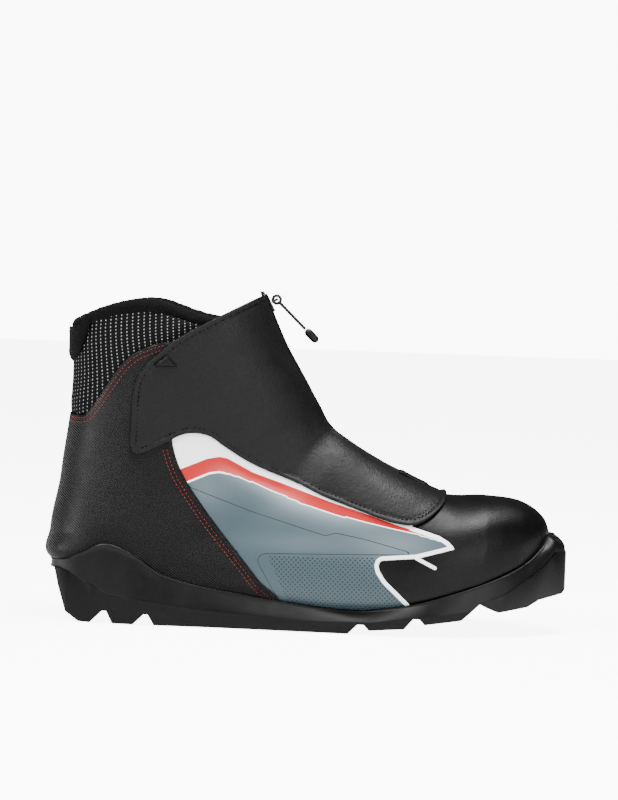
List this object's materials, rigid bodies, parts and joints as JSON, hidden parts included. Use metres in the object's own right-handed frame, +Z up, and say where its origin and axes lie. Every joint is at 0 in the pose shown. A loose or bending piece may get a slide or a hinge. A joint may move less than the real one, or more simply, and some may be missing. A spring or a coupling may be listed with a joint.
{
  "type": "cross country ski boot",
  "caption": "Right touring boot for cross country skis: moulded sole with a toe binding bar, stitched upper, and a zipped cover over the lacing.",
  "frame": {"origin": "middle of the boot's length and width, on the plane that the tread stands on", "axes": "+X to the toe, +Y to the inner side of the foot, +Z up"},
  "size_m": [0.3005, 0.102, 0.1929],
  "materials": {
    "leather": "fine grained black synthetic leather",
    "fabric": "black coated fabric with fine diagonal ribs",
    "knit": "black knit with small white dots",
    "print": "blue grey print with white and red bands, satin",
    "fleece": "black fleece",
    "lining": "blue grey brushed lining",
    "foam": "soft foam",
    "rubber": "satin black rubber",
    "tread": "matt black rubber",
    "nylon": "moulded black nylon",
    "board": "pressed fibre board",
    "steel": "brushed steel",
    "cord": "black braided cord and webbing",
    "plastic": "black moulded plastic"
  },
  "bodies": {
    "boot": {"sole_rand": "rubber", "outsole": "tread", "toe_block": "nylon", "binding_bar": "steel", "insole_board": "board", "shank": "steel", "footbed": "foam", "vamp": "leather", "heel_quarter": "fabric", "collar_panel": "knit", "heel_cap": "fleece", "heel_counter": "board", "toe_puff": "board", "collar_padding": "foam", "lining": "lining", "collar_binding": "fleece", "tongue": "lining", "lace": "cord", "zip_end_patch": "leather", "zip_bottom_stop": "steel", "side_panel_lateral": "print", "eyestay_lateral": "fabric", "cover_side_lateral": "leather", "cover_tack_lateral": "leather", "zip_tape_lower_lateral": "fabric", "zip_teeth_lower_lateral": "plastic", "lace_loop_lateral_1": "cord", "lace_loop_lateral_2": "cord", "lace_loop_lateral_3": "cord", "lace_loop_lateral_4": "cord", "side_panel_medial": "print", "eyestay_medial": "fabric", "cover_side_medial": "leather", "cover_tack_medial": "leather", "zip_tape_lower_medial": "fabric", "zip_teeth_lower_medial": "plastic", "lace_loop_medial_1": "cord", "lace_loop_medial_2": "cord", "lace_loop_medial_3": "cord", "lace_loop_medial_4": "cord"},
    "lateral_flap": {"cover_flap_lateral": "leather", "zip_tape_upper_lateral": "fabric", "zip_teeth_upper_lateral": "plastic", "zip_top_stop_lateral": "steel"},
    "medial_flap": {"cover_flap_medial": "leather", "zip_tape_upper_medial": "fabric", "zip_teeth_upper_medial": "plastic", "zip_top_stop_medial": "steel"},
    "slider": {"slider_body": "steel", "slider_bridge": "steel"},
    "pull": {"pull_cord": "cord", "pull_grip": "plastic"}
  },
  "joints": [
    {"name": "zip_slide", "type": "slide", "parent": "boot", "child": "slider", "axis": [0.4721, 0, -0.8815], "range_m": [0, 0.055]},
    {"name": "pull_swing", "type": "hinge", "parent": "slider", "child": "pull", "pos_m": [-0.02329, 0, 0.18826], "axis": [0, -1, 0], "range_deg": [0, 115]},
    {"name": "lateral_flap_fold", "type": "hinge", "parent": "boot", "child": "lateral_flap", "pos_m": [0.0116, -0.01196, 0.12763], "axis": [0.8534, 0.3382, -0.3966], "range_deg": [0, 50], "deforming": ["zip_tape_upper_lateral", "zip_teeth_upper_lateral"]},
    {"name": "medial_flap_fold", "type": "hinge", "parent": "boot", "child": "medial_flap", "pos_m": [0.0116, 0.01196, 0.12763], "axis": [-0.8534, 0.3382, 0.3966], "range_deg": [0, 50], "deforming": ["zip_tape_upper_medial", "zip_teeth_upper_medial"]}
  ]
}
